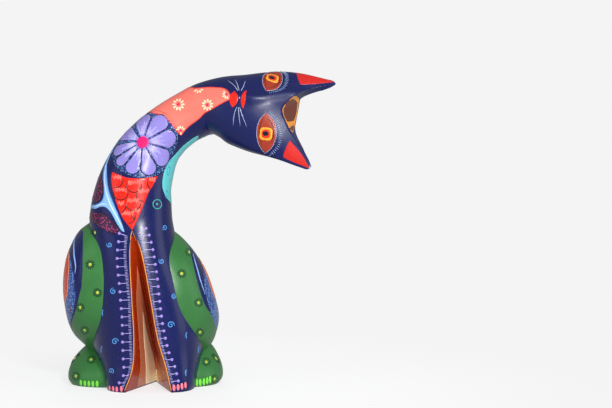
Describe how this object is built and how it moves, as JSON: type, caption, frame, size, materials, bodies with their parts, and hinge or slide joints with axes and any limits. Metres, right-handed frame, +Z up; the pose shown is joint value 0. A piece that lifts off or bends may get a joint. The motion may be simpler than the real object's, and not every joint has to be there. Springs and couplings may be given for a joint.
{
  "type": "carved animal figure",
  "caption": "Painted carved-wood cat sitting upright with its long neck bent over sideways; a display ornament with a plug-in tail.",
  "frame": {"origin": "on the flat sole of the trunk, behind the cut between the front legs", "axes": "+Z up; the cat faces -Y; its head hangs over towards +X"},
  "size_m": [0.2182, 0.1363, 0.25],
  "materials": {
    "painted_body": "acrylic paint under satin varnish",
    "painted_leg": "acrylic paint under satin varnish",
    "bare_wood": "sanded, unpainted"
  },
  "bodies": {
    "figure": {"trunk": "painted_body", "neck": "painted_body", "head": "painted_body", "hind_leg_right": "painted_leg", "hind_leg_left": "painted_leg", "neck_dowel_1": "bare_wood", "neck_dowel_2": "bare_wood", "head_dowel_1": "bare_wood", "head_dowel_2": "bare_wood", "leg_dowel_1": "bare_wood", "leg_dowel_2": "bare_wood", "leg_dowel_3": "bare_wood", "leg_dowel_4": "bare_wood"},
    "tail": {"tail": "painted_body"}
  },
  "joints": [
    {"name": "tail_pull", "type": "slide", "parent": "figure", "child": "tail", "axis": [0, 0.9135, 0.4067], "range_m": [0, 0.024]}
  ]
}
